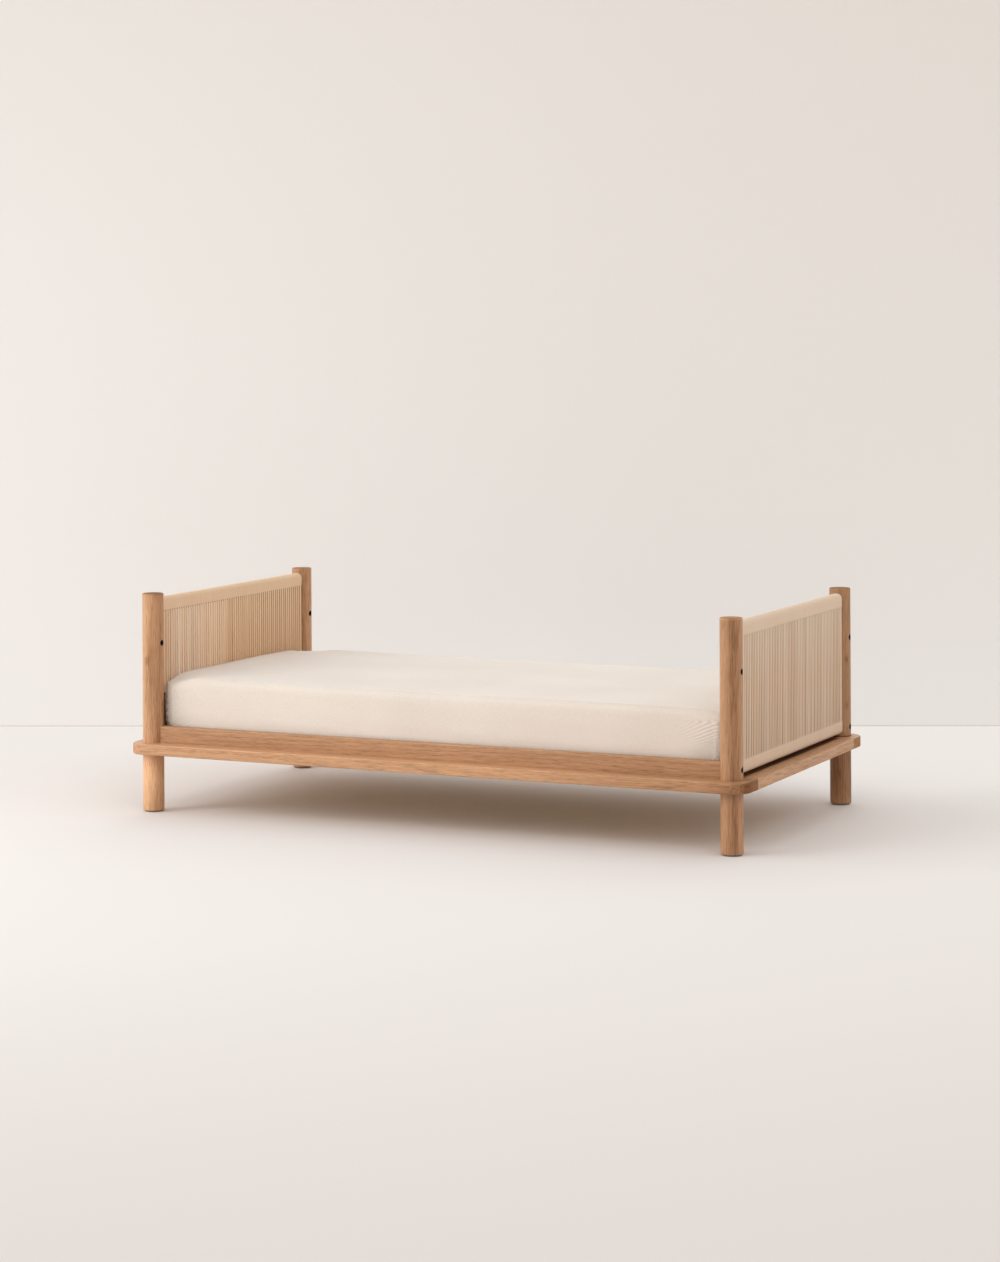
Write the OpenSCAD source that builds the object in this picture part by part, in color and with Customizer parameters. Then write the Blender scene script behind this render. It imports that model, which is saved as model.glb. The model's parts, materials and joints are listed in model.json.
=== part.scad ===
// Junior bed in oak, with cord-wound end panels. Millimetres, +X along the bed towards the foot
// end, +Y towards its back, +Z up. The origin is on the floor under the middle of the bed.

/* [Mattress] */
// Length of the mattress in its fitted sheet
mattress_length = 1404; // [1200:2:1600]
// Width of the mattress in its fitted sheet
mattress_width = 696; // [600:2:900]
// Height of the mattress in its sheet, at its edges
mattress_height = 121; // [80:1:160]
// Rise of the crowned top above those edges
mattress_crown = 8; // [2:0.5:15]
// Radius of the mattress's corners, seen from above
mattress_corner = 26; // [24:1:80]
// Radius of the mattress's edges, seen from the side
mattress_edge = 16; // [12:1:22]
// Thickness of the sheet's cloth
sheet_thickness = 1; // [0.6:0.1:2]
// Width of the sheet that is turned in under the mattress
sheet_hem = 60; // [30:1:120]
// Room between the mattress's end and the cord of a panel
end_room = 9; // [3:1:30]
// Room between the mattress's side and a side rail
side_room = 4; // [1:0.5:20]

/* [Posts] */
// Diameter of the posts
post_diameter = 50; // [44:1:64]
// Height of the posts above the floor
post_height = 512; // [460:1:640]
// Radius of the eased edges at a post's two ends
post_edge = 2.5; // [1:0.5:5]
// Height of the holes for a guard rail
guard_hole_height = 396; // [340:1:430]

/* [Ledge] */
// Height of the ledge's underside above the floor
ledge_underside = 137; // [90:1:160]
// Thickness of the ledge's boards
ledge_thickness = 25; // [18:1:34]
// Width of the ledge's boards
ledge_board_width = 85; // [78:1:96]
// How far the ledge reaches past the posts' axes
ledge_overhang = 46; // [40:1:52]
// Radius of the ledge's corners
ledge_corner = 42; // [20:1:44]
// Radius of the eased edges of the ledge and the side rails
board_edge = 2.5; // [1:0.5:5]

/* [Side rails] */
// Height of the side rails above the ledge
side_rail_height = 39; // [34:1:48]
// Thickness of the side rails
side_rail_thickness = 21; // [18:1:28]
// How far a side rail's outer face stands outside the posts' axes
side_rail_offset = 9; // [6:1:14]

/* [End panels] */
// How far the panels' tops are below the posts' tops
panel_drop = 11; // [4:1:30]
// Gap between the ledge and the cord of the panels' bottom rails
panel_gap = 7; // [4:1:20]
// Height of the cord band round each panel rail
band_height = 35; // [30:0.5:50]
// Thickness of the panels over the cord
panel_thickness = 28; // [26:1:40]
// Radius of the panel rails' long edges, under the cord
panel_rail_edge = 8; // [3:0.5:9]
// Diameter of the cord
cord_diameter = 3.1; // [2.6:0.1:4]
// Number of strand pairs side by side in a panel
strand_pairs = 65; // [40:1:66]
// Diameter of the rod that holds a panel's two rails apart
rod_diameter = 10; // [6:0.5:16]
// Depth of the rod's ends in those rails
rod_end_depth = 9; // [6:1:14]

/* [Slats] */
// Number of slats
slat_count = 14; // [10:1:14]
// Width of a slat
slat_width = 60; // [40:1:70]
// Thickness of a slat
slat_thickness = 18; // [12:1:24]
// Width of the webbing tapes under the slats
webbing_width = 30; // [20:1:50]
// Thickness of the webbing tapes
webbing_thickness = 1.5; // [1:0.1:3]

/* [Hardware] */
// Diameter of the bolts that hold the side rails to the posts
bolt_diameter = 6; // [5:1:8]
// Length of those bolts under the head
bolt_length = 72; // [66:1:90]
// Diameter of the bolts' heads
bolt_head_diameter = 14; // [11:0.5:15]
// Height of the bolts' heads
bolt_head_height = 8; // [5:1:9]
// Diameter of the barrel nuts in the side rails
barrel_nut_diameter = 10; // [10:1:13]
// Outer diameter of the guard-rail sleeves
sleeve_diameter = 14; // [11:0.5:15]
// Bore of the guard-rail sleeves
sleeve_bore = 8; // [6:0.5:9]
// Diameter of the dowels
dowel_diameter = 8; // [6:1:9]
// Length of the dowels
dowel_length = 32; // [24:1:36]
// Diameter of the screws that hold the ledge and the end slats
screw_diameter = 4.5; // [3.5:0.5:6]
// Length of the screws that hold the ledge to the side rails
ledge_screw_length = 45; // [36:1:54]
// Length of the screws that hold the end slats to the ledge
slat_screw_length = 35; // [30:1:38]
// Diameter of the glides under the posts
glide_diameter = 42; // [34:1:43]
// Thickness of the glides
glide_thickness = 3; // [2:0.5:6]

/* [Hidden] */
$fn = 48;

// Colours
oak = [0.78, 0.60, 0.45];
oak_dark = [0.66, 0.49, 0.36];
slat_wood = [0.86, 0.74, 0.57];
cotton_cord = [0.86, 0.77, 0.65];
linen = [0.92, 0.88, 0.84];
foam = [0.95, 0.93, 0.88];
black_steel = [0.08, 0.08, 0.08];
zinc = [0.65, 0.66, 0.68];
felt = [0.22, 0.18, 0.15];
webbing_cloth = [0.80, 0.79, 0.75];

// Clearances
soft_gap = 0.3;         // between a soft piece and what it lies on
hole_gap = 0.1;         // between a pin or a post and the wall of its hole, all round
joint_gap = 0.2;        // between two boards that meet end to side
panel_end_gap = 0.5;    // between the cord's last wrap and the post

// Heights, from the floor up
ledge_top = ledge_underside + ledge_thickness;
slat_top = ledge_top + slat_thickness;
panel_top = post_height - panel_drop;
panel_bottom = ledge_top + panel_gap;
top_band_low = panel_top - band_height;
bottom_band_high = panel_bottom + band_height;
bolt_rise = 3;           // of the rail bolts above the middle of the side rails
bolt_height = ledge_top + side_rail_height / 2 + bolt_rise;

// Places along and across the bed
post_radius = post_diameter / 2;
side_rail_inner = mattress_width / 2 + side_room;
side_rail_middle = side_rail_inner + side_rail_thickness / 2;
post_x = mattress_length / 2 + end_room + panel_thickness / 2;
post_y = side_rail_inner + side_rail_thickness - side_rail_offset;
ledge_x = post_x + ledge_overhang;
ledge_y = post_y + ledge_overhang;
long_board_inner = ledge_y - ledge_board_width;
end_board_inner = ledge_x - ledge_board_width;

// End panels
rail_thickness = panel_thickness - 2 * cord_diameter;
rail_height = band_height - 2 * cord_diameter;
winding_half = post_y - post_radius - panel_end_gap;
strand_pitch = 2 * winding_half / strand_pairs;
strand_radius = 0.485 * cord_diameter;
strand_spacing = 0.96 * cord_diameter;

// Slats
slat_end_play = 2;
slat_length = 2 * (side_rail_inner - slat_end_play);
last_slat_gap = 16;
last_slat_x = end_board_inner - slat_width / 2 - last_slat_gap;
slat_pitch = 2 * last_slat_x / (slat_count - 1);
slat_shelf_middle = (long_board_inner + side_rail_inner) / 2;
webbing_y = mattress_width * 0.29;
webbing_end_inset = 5;

// Hardware
bolt_recess = 1.5;
bolt_seat = post_radius - bolt_recess - bolt_head_height;
bolt_tip = bolt_seat - bolt_length;
bolt_end_past_nut = 10;
barrel_nut_x = bolt_tip + bolt_end_past_nut;
barrel_nut_wall = 5;
barrel_nut_length = side_rail_thickness - barrel_nut_wall;
sleeve_length = 2 * sqrt(pow(post_radius, 2) - pow(sleeve_diameter / 2, 2)) - 0.4;
ledge_screw_inset = 200;
ledge_screw_span = 2 * (post_x - ledge_screw_inset);
ledge_screws_per_side = 4;
ledge_dowel_inset = 18;
panel_dowel_depth = 14;
glide_pin_diameter = 5;
glide_pin_length = 15;
screw_head_ratio = 2;

// Frame of a corner: what is drawn at the back right corner is mirrored to the other corners.
module at_corner(side_x, side_y) {
    mirror([side_x < 0 ? 1 : 0, 0, 0])
        mirror([0, side_y < 0 ? 1 : 0, 0])
            children();
}

module at_every_corner() {
    for (side_x = [-1, 1], side_y = [-1, 1])
        at_corner(side_x, side_y)
            children();
}

module along_x(length) {
    rotate([90, 0, 90])
        linear_extrude(height = length, center = true)
            children();
}

module along_y(length) {
    rotate([90, 0, 180])
        linear_extrude(height = length, center = true)
            children();
}

// A section that stands on y = 0, with its two top corners rounded
module rounded_top(width, height, radius) {
    translate([-width / 2, 0])
        square([width, height - radius]);
    translate([radius - width / 2, 0])
        square([width - 2 * radius, height]);
    for (side = [-1, 1])
        translate([side * (width / 2 - radius), height - radius])
            circle(r = radius);
}

// A rectangle with four rounded corners, centred
module rounded_bar(width, height, radius) {
    square([width - 2 * radius, height], center = true);
    square([width, height - 2 * radius], center = true);
    for (side_x = [-1, 1], side_y = [-1, 1])
        translate([side_x * (width / 2 - radius), side_y * (height / 2 - radius)])
            circle(r = radius);
}

// A board's section from x = 0 to its width, with its two outer edges eased
module eased_section(width, thickness, edge) {
    square([width - edge, thickness]);
    translate([0, edge])
        square([width, thickness - 2 * edge]);
    for (height = [edge, thickness - edge])
        translate([width - edge, height])
            circle(r = edge);
}

// Holes of one post, drawn at the back right corner
module post_holes() {
    bore = sleeve_diameter / 2 + hole_gap;
    translate([0, 0, guard_hole_height])
        rotate([0, 90, 0])
            cylinder(r = bore, h = 2 * post_diameter, center = true);
    translate([0, 0, bolt_height])
        rotate([0, 90, 0]) {
            cylinder(r = bolt_diameter / 2 + hole_gap, h = 2 * post_diameter, center = true);
            translate([0, 0, bolt_seat])
                cylinder(r = bolt_head_diameter / 2 + hole_gap, h = post_diameter);
        }
    translate([0, 0, -1])
        cylinder(r = glide_pin_diameter / 2 + hole_gap, h = glide_thickness + glide_pin_length + 2);
}

module post(side_x, side_y) {
    radius = post_radius;
    height = post_height - glide_thickness;
    at_corner(side_x, side_y)
        difference() {
            translate([post_x, post_y, 0])
                difference() {
                    translate([0, 0, glide_thickness])
                        rotate_extrude() {
                            square([radius - post_edge, height]);
                            translate([0, post_edge])
                                square([radius, height - 2 * post_edge]);
                            for (end = [post_edge, height - post_edge])
                                translate([radius - post_edge, end])
                                    circle(r = post_edge);
                        }
                    post_holes();
                }
            panel_dowel_pins(hole_gap);
        }
}

// The space that the posts fill, for the holes and the coped ends that fit round them
module post_space() {
    at_every_corner()
        translate([post_x, post_y, ledge_underside - 1])
            cylinder(r = post_radius + hole_gap, h = post_height);
}

// A long ledge board carries both rounded corners of its side.
module ledge_long_board(side_y) {
    straight_x = ledge_x - ledge_corner;
    straight_y = ledge_y - ledge_corner;
    mirror([0, side_y < 0 ? 1 : 0, 0])
        difference() {
            translate([0, 0, ledge_underside]) {
                translate([0, long_board_inner, 0])
                    along_x(2 * straight_x)
                        eased_section(ledge_board_width, ledge_thickness, board_edge);
                for (side_x = [-1, 1])
                    mirror([side_x < 0 ? 1 : 0, 0, 0]) {
                        translate([straight_x, straight_y, 0])
                            rotate_extrude(angle = 90)
                                eased_section(ledge_corner, ledge_thickness, board_edge);
                        translate([straight_x, (long_board_inner + straight_y) / 2, 0])
                            mirror([1, 0, 0])
                                along_y(straight_y - long_board_inner)
                                    eased_section(ledge_corner, ledge_thickness, board_edge);
                    }
            }
            post_space();
            ledge_dowel_pins(hole_gap);
            ledge_screw_shanks(hole_gap);
            slat_screw_shanks(hole_gap);
        }
}

module ledge_end_board(side_x) {
    mirror([side_x < 0 ? 1 : 0, 0, 0])
        difference() {
            translate([end_board_inner, 0, ledge_underside])
                mirror([1, 0, 0])
                    along_y(2 * (long_board_inner - joint_gap))
                        eased_section(ledge_board_width, ledge_thickness, board_edge);
            ledge_dowel_pins(hole_gap);
        }
}

// Side rail with eased top edges, its ends coped to the round posts
module side_rail(side_y) {
    mirror([0, side_y < 0 ? 1 : 0, 0])
        difference() {
            translate([0, side_rail_middle, ledge_top])
                along_x(2 * post_x)
                    rounded_top(side_rail_thickness, side_rail_height, board_edge);
            post_space();
            ledge_screw_shanks(hole_gap);
            bolt_shanks(hole_gap);
            barrel_nut_bodies(hole_gap, 10);
        }
}

// What is drawn standing on z = 0 is put on the strands' side of a panel's top or bottom rail.
module at_panel_rail(side_x, is_top) {
    translate([side_x * post_x, 0, is_top ? top_band_low : bottom_band_high])
        mirror([0, 0, is_top ? 0 : 1])
            children();
}

// Rail of an end panel, flat towards the strands and rounded away from them, its ends coped
module panel_rail(side_x, is_top) {
    difference() {
        at_panel_rail(side_x, is_top)
            translate([0, 0, cord_diameter])
                along_y(2 * post_y)
                    rounded_top(rail_thickness, rail_height, panel_rail_edge);
        post_space();
        panel_dowel_pins(hole_gap);
        panel_rod(side_x, hole_gap);
    }
}

// Upright rod in the middle of a panel, between the two faces of the winding
module panel_rod(side_x, gap) {
    low = bottom_band_high - cord_diameter - rod_end_depth - gap;
    high = top_band_low + cord_diameter + rod_end_depth + gap;
    translate([side_x * post_x, 0, low])
        cylinder(d = rod_diameter + 2 * gap, h = high - low);
}

// One wrapped rail: the cord's turns lie side by side and cover the rail as a sleeve.
module cord_band() {
    along_y(2 * winding_half)
        difference() {
            rounded_top(panel_thickness, band_height, panel_rail_edge + cord_diameter);
            translate([0, cord_diameter])
                rounded_top(rail_thickness, rail_height, panel_rail_edge);
        }
}

// The winding of one panel: two wrapped rails, whose turns leave room for the rod, and the strand
// pairs that run between them on both faces. Each strand goes on into a band as one of its turns.
module cord_winding(side_x) {
    strand_x = (panel_thickness - cord_diameter) / 2;
    difference() {
        union() {
            at_panel_rail(side_x, true)
                cord_band();
            at_panel_rail(side_x, false)
                cord_band();
        }
        panel_rod(side_x, hole_gap);
    }
    translate([side_x * post_x, 0, bottom_band_high - cord_diameter / 2])
        linear_extrude(height = top_band_low - bottom_band_high + cord_diameter)
            for (face = [-1, 1], pair = [1:strand_pairs], strand = [-0.5, 0.5])
                translate([
                    face * strand_x,
                    (pair - 0.5) * strand_pitch - winding_half + strand * strand_spacing
                ])
                    circle(r = strand_radius, $fn = 16);
}

module slat(number) {
    slat_x = -last_slat_x + (number - 1) * slat_pitch;
    difference() {
        translate([slat_x, 0, ledge_top + slat_thickness / 2])
            along_y(slat_length)
                rounded_bar(slat_width, slat_thickness, board_edge);
        slat_screw_shanks(hole_gap);
    }
}

module slat_webbing() {
    length = 2 * last_slat_x + slat_width - 2 * webbing_end_inset;
    for (side = [-1, 1])
        translate([0, side * webbing_y, ledge_top - webbing_thickness / 2])
            cube([length, webbing_width, webbing_thickness], center = true);
}

// A countersunk screw that points down, its head's face at z = 0
module screw(length, gap) {
    head_radius = screw_diameter * screw_head_ratio / 2 + gap;
    shank_radius = screw_diameter / 2 + gap;
    head_height = head_radius - shank_radius;
    translate([0, 0, -length - gap])
        cylinder(r = shank_radius, h = length + gap);
    translate([0, 0, -head_height])
        cylinder(r1 = shank_radius, r2 = head_radius, h = head_height);
}

// The end slats' screws, one into each long board
module slat_screw_shanks(gap) {
    at_every_corner()
        translate([last_slat_x, slat_shelf_middle, slat_top])
            screw(slat_screw_length, gap);
}

// Screws up through the ledge into the side rails
module ledge_screw_shanks(gap) {
    step = ledge_screw_span / (ledge_screws_per_side - 1);
    for (side_y = [-1, 1], number = [0:ledge_screws_per_side - 1])
        translate([
            -ledge_screw_span / 2 + number * step,
            side_y * side_rail_middle,
            ledge_underside
        ])
            rotate([180, 0, 0])
                screw(ledge_screw_length, gap);
}

// Two dowels in each joint between a ledge end board and a long board
module ledge_dowel_pins(gap) {
    at_every_corner()
        for (dowel_x = [end_board_inner + ledge_dowel_inset, ledge_x - ledge_dowel_inset])
            translate([dowel_x, long_board_inner, ledge_underside + ledge_thickness / 2])
                rotate([90, 0, 0])
                    cylinder(d = dowel_diameter + 2 * gap, h = dowel_length + 2 * gap, center = true);
}

// One dowel between each end of a panel rail and its post
module panel_dowel_pins(gap) {
    inner_end = post_y - post_radius + panel_dowel_depth;
    at_every_corner()
        for (middle = [panel_top - band_height / 2, panel_bottom + band_height / 2])
            translate([post_x, inner_end + gap, middle])
                rotate([90, 0, 0])
                    cylinder(d = dowel_diameter + 2 * gap, h = dowel_length + 2 * gap);
}

// Connector bolts along the bed, drawn from the bolt's seat in each post
module bolt_shanks(gap) {
    at_every_corner()
        translate([post_x + bolt_tip - gap, post_y, bolt_height])
            rotate([0, 90, 0])
                cylinder(d = bolt_diameter + 2 * gap, h = bolt_length + gap);
}

module rail_bolts() {
    socket_depth = bolt_head_height / 2;
    bolt_shanks(0);
    at_every_corner()
        translate([post_x + bolt_seat, post_y, bolt_height])
            rotate([0, 90, 0])
                difference() {
                    cylinder(d = bolt_head_diameter, h = bolt_head_height);
                    translate([0, 0, bolt_head_height - socket_depth])
                        cylinder(d = bolt_diameter * 0.96, h = socket_depth + 1, $fn = 6);
                }
}

// Barrel nuts lie across the side rails and are put in from the rails' inner faces.
module barrel_nut_bodies(gap, past_face) {
    at_every_corner()
        translate([post_x + barrel_nut_x, side_rail_inner - past_face, bolt_height])
            rotate([-90, 0, 0])
                cylinder(d = barrel_nut_diameter + 2 * gap, h = barrel_nut_length + past_face + gap);
}

module barrel_nuts() {
    difference() {
        barrel_nut_bodies(0, 0);
        bolt_shanks(hole_gap / 2);
    }
}

module guard_rail_sleeves() {
    at_every_corner()
        translate([post_x, post_y, guard_hole_height])
            rotate([0, 90, 0])
                difference() {
                    cylinder(d = sleeve_diameter, h = sleeve_length, center = true);
                    cylinder(d = sleeve_bore, h = sleeve_length + 2, center = true);
                }
}

module foot_glides() {
    at_every_corner()
        translate([post_x, post_y, 0]) {
            cylinder(d = glide_diameter, h = glide_thickness);
            cylinder(d = glide_pin_diameter, h = glide_thickness + glide_pin_length);
        }
}

// The mattress and its sheet share one form, a stack of rounded rectangles. A level is
// [inset, height]: how far the outline is drawn in, and how high it lies.
corner_points = 7;
crown_insets = [0.12, 0.34, 0.62, 0.9];

function outline(half_x, half_y, radius, height) = [
    for (corner = [0:3], step = [0:corner_points])
        let (angle = 90 * (corner + step / corner_points),
             sign_x = (corner == 0 || corner == 3) ? 1 : -1,
             sign_y = corner < 2 ? 1 : -1)
            [sign_x * (half_x - radius) + radius * cos(angle),
             sign_y * (half_y - radius) + radius * sin(angle),
             height]
];

smallest_corner = 6;

function level(inset, height) =
    let (half_x = mattress_length / 2 - inset,
         half_y = mattress_width / 2 - inset,
         radius = max(mattress_corner - inset, smallest_corner))
        outline(half_x, half_y, radius, height);

// Levels of the form from its underside to the middle of its crown, drawn in by a skin
edge_steps = [0, 30, 60, 90];
function form_levels(skin) =
    let (low = slat_top + soft_gap,
         high = low + mattress_height,
         edge = mattress_edge - skin,
         inner = mattress_width / 2 - mattress_edge)
        concat(
            [level(sheet_hem, low + skin)],
            [for (angle = edge_steps)
                level(mattress_edge - edge * sin(angle),
                      low + mattress_edge - edge * cos(angle))],
            [for (angle = edge_steps)
                level(mattress_edge - edge * cos(angle),
                      high - mattress_edge + edge * sin(angle))],
            [for (share = crown_insets)
                level(mattress_edge + inner * share,
                      high - skin + mattress_crown * (1 - pow(1 - share, 2)))]
        );

// A solid over a stack of outlines, with walls of triangles and a flat cap at each end
module stacked_solid(levels) {
    count = len(levels[0]);
    last = len(levels) - 1;
    walls = [
        for (row = [0:last - 1], column = [0:count - 1])
            let (next = (column + 1) % count,
                 a = row * count + column,
                 b = row * count + next,
                 c = (row + 1) * count + next,
                 d = (row + 1) * count + column)
                each [[a, c, b], [a, d, c]]
    ];
    first_cap = [for (column = [0:count - 1]) column];
    last_cap = [for (column = [count - 1:-1:0]) last * count + column];
    polyhedron(points = [for (ring = levels) each ring], faces = concat(walls, [first_cap, last_cap]));
}

module mattress_form() {
    stacked_solid(form_levels(sheet_thickness + soft_gap));
}

// The sheet is a skin over the mattress's form: outside up, inside down, open underneath.
module sheet_form() {
    difference() {
        stacked_solid(form_levels(0));
        stacked_solid(form_levels(sheet_thickness));
        translate([0, 0, slat_top])
            linear_extrude(height = mattress_edge)
                square([mattress_length - 2 * sheet_hem, mattress_width - 2 * sheet_hem], center = true);
    }
}

module post_front_left() { color(oak) post(-1, -1); }
module post_front_right() { color(oak) post(1, -1); }
module post_back_left() { color(oak) post(-1, 1); }
module post_back_right() { color(oak) post(1, 1); }
module ledge_front_board() { color(oak) ledge_long_board(-1); }
module ledge_back_board() { color(oak) ledge_long_board(1); }
module ledge_left_board() { color(oak) ledge_end_board(-1); }
module ledge_right_board() { color(oak) ledge_end_board(1); }
module side_rail_front() { color(oak_dark) side_rail(-1); }
module side_rail_back() { color(oak_dark) side_rail(1); }
module headboard_top_rail() { color(oak) panel_rail(-1, true); }
module headboard_bottom_rail() { color(oak) panel_rail(-1, false); }
module headboard_rod() { color(oak) panel_rod(-1, 0); }
module headboard_cord() { color(cotton_cord) cord_winding(-1); }
module footboard_top_rail() { color(oak) panel_rail(1, true); }
module footboard_bottom_rail() { color(oak) panel_rail(1, false); }
module footboard_rod() { color(oak) panel_rod(1, 0); }
module footboard_cord() { color(cotton_cord) cord_winding(1); }

post_front_left();
post_front_right();
post_back_left();
post_back_right();
ledge_front_board();
ledge_back_board();
ledge_left_board();
ledge_right_board();
side_rail_front();
side_rail_back();
headboard_top_rail();
headboard_bottom_rail();
headboard_rod();
headboard_cord();
footboard_top_rail();
footboard_bottom_rail();
footboard_rod();
footboard_cord();
for (number = [1:slat_count])
    color(slat_wood) slat(number);
color(webbing_cloth) slat_webbing();
color(zinc) slat_screw_shanks(0);  // slat_screws
color(zinc) ledge_screw_shanks(0);  // ledge_screws
color(slat_wood) ledge_dowel_pins(0);  // ledge_dowels
color(slat_wood) panel_dowel_pins(0);  // panel_dowels
color(black_steel) rail_bolts();
color(zinc) barrel_nuts();
color(black_steel) guard_rail_sleeves();
color(felt) foot_glides();
color(foam) mattress_form();  // mattress
color(linen) sheet_form();  // fitted_sheet
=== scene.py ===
# %% [markdown]
# # A junior bed in oak with cord-wound ends
#
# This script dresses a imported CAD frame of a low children's bed: four round posts, a ledge with
# rounded corners that runs round the bed, two side rails, slats, two end panels wound with cotton
# cord, and a mattress in a fitted sheet. The wooden pieces already have their right shapes, so they
# stay as they are and only get better finishes. The cord, the mattress and the sheet are soft, so
# they are made again here with all the detail that a fixed solid can't have.

import json
import math
import random

import bmesh
import bpy
from mathutils import Matrix, Vector, noise


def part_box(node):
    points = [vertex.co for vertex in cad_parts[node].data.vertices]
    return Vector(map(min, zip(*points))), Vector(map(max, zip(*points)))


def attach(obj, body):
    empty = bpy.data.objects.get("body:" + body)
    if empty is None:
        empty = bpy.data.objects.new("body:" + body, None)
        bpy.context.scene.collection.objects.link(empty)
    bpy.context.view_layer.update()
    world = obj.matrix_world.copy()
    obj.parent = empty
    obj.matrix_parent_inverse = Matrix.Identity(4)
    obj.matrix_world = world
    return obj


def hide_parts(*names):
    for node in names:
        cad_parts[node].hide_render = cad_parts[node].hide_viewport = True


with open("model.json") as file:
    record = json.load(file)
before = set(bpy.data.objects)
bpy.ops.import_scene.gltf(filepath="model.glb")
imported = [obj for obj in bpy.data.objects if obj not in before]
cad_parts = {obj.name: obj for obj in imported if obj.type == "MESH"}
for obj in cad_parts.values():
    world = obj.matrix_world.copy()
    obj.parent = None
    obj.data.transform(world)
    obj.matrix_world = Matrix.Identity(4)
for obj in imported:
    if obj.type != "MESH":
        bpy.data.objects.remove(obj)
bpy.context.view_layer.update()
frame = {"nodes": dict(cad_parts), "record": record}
nodes = frame["nodes"]

# %% [markdown]
# ## The camera
#
# The photograph looks at the bed from the right of its front, from about 1.2 m above the floor, and
# all upright edges stay upright in it. That is a level camera whose picture is moved down on the
# sensor, as an architect's shift lens does. The place and the turn came from fitting the ends of
# the posts and the ledge's corners to the picture. A long lens keeps the two ends of the bed nearly
# the same size.

# %% The camera
CAMERA_PLACE = (3.06167, -6.54896, 1.20093)
CAMERA_TURN = 0.4360
CAMERA_LEAN = 0.0050
LENS_MM = 87.34
PICTURE_SHIFT = -0.2634

camera = bpy.data.objects.new("camera", bpy.data.cameras.new("camera"))
bpy.context.scene.collection.objects.link(camera)
camera.location = CAMERA_PLACE
camera.rotation_euler = (math.pi / 2, CAMERA_LEAN, CAMERA_TURN)
camera.data.lens = LENS_MM
camera.data.sensor_width = 36
camera.data.shift_y = PICTURE_SHIFT
bpy.context.scene.camera = camera
bpy.context.scene.view_settings.view_transform = "Standard"
print("camera:", CAMERA_PLACE, "lens", LENS_MM, "mm")

# %% [markdown]
# ## Helpers for materials
#
# A material in Blender is a small network of nodes. Writing each one out takes many lines, so one
# helper adds a node and fills its inputs, with a plain value or with another node's output. Colours
# are written as they look on a screen, from 0 to 255, and changed to Blender's linear light.


# %% Helpers for materials
def colour(red, green, blue):
    """A screen colour, 0 to 255, as linear light with full cover."""
    levels = [v / 255 for v in (red, green, blue)]
    linear = [v / 12.92 if v <= 0.04045 else ((v + 0.055) / 1.055) ** 2.4 for v in levels]
    return (*linear, 1)


def add(tree, kind, inputs=None, **settings):
    """Adds a shader node. Inputs are named or numbered, and hold values or other nodes' outputs."""
    made = tree.nodes.new("ShaderNode" + kind)
    for name, value in settings.items():
        setattr(made, name, value)
    for name, value in (inputs or {}).items():
        if isinstance(value, bpy.types.NodeSocket):
            tree.links.new(value, made.inputs[name])
        else:
            made.inputs[name].default_value = value
    return made.outputs


def calculate(tree, operation, *values):
    return add(tree, "Math", dict(enumerate(values)), operation=operation)[0]


def split(tree, vector):
    """The X, Y and Z of a vector."""
    return add(tree, "SeparateXYZ", {0: vector})


def blend_colours(tree, share, first, second, how="MIX", clamp=True):
    return add(
        tree,
        "Mix",
        {0: share, 6: first, 7: second},
        data_type="RGBA",
        blend_type=how,
        clamp_factor=clamp,
    )[2]


def spread(tree, value, low, high, to_low=0.0, to_high=1.0):
    """Stretches a value from low...high to to_low...to_high, and clips it there."""
    inputs = {"Value": value, 1: low, 2: high, 3: to_low, 4: to_high}
    return add(tree, "MapRange", inputs)[0]


def new_material(name):
    material = bpy.data.materials.new(name)
    material.use_nodes = True
    tree = material.node_tree
    tree.nodes.clear()
    shader = tree.nodes.new("ShaderNodeBsdfPrincipled")
    out = tree.nodes.new("ShaderNodeOutputMaterial")
    tree.links.new(shader.outputs["BSDF"], out.inputs["Surface"])
    return material, tree, shader


def finish_shader(tree, shader, base, roughness, height=None, depth=0.0, **constants):
    """Joins a colour, a roughness and a height to the shader. Constants go on its own sockets."""
    tree.links.new(base, shader.inputs["Base Color"])
    if isinstance(roughness, bpy.types.NodeSocket):
        tree.links.new(roughness, shader.inputs["Roughness"])
    else:
        shader.inputs["Roughness"].default_value = roughness
    if height is not None:
        bump = add(tree, "Bump", {"Strength": 1.0, "Distance": depth, "Height": height})
        tree.links.new(bump[0], shader.inputs["Normal"])
    for name, value in constants.items():
        shader.inputs[name.replace("_", " ")].default_value = value


print("a screen's middle grey is", round(colour(128, 128, 128)[0], 3), "in linear light")

# %% [markdown]
# ## The room
#
# The bed stands on a pale studio floor in front of a pale wall, and a thin line shows where the two
# meet. Both fall off a little in brightness, away from the windows. The room isn't part of the
# object. The wall stands close behind the bed. A camera that goes round to the back would see only
# the wall, so its back is clear, and it takes no part in the light.

# %% The floor and the wall
FLOOR_COLOUR = colour(236, 230, 225)
FLOOR_SHADE = colour(222, 214, 208)
WALL_COLOUR = colour(238, 236, 234)
WALL_SHADE = colour(235, 231, 226)
SEAM = 0.0045
SEAM_COLOUR = colour(222, 216, 210)
FLOOR_REACH = 14.0
WALL_HEIGHT = 7.0
WALL_FOOT = (-0.5925, 1.231, 0.0)
WALL_TURN = 0.4025
WALL_FADE = (0.6, 3.0)
FLOOR_FADE = (1.2, 3.4)
FLOOR_FADE_TOWARDS = (0.758, -0.652, 0)
PAINT_ROUGHNESS = 0.9


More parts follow.
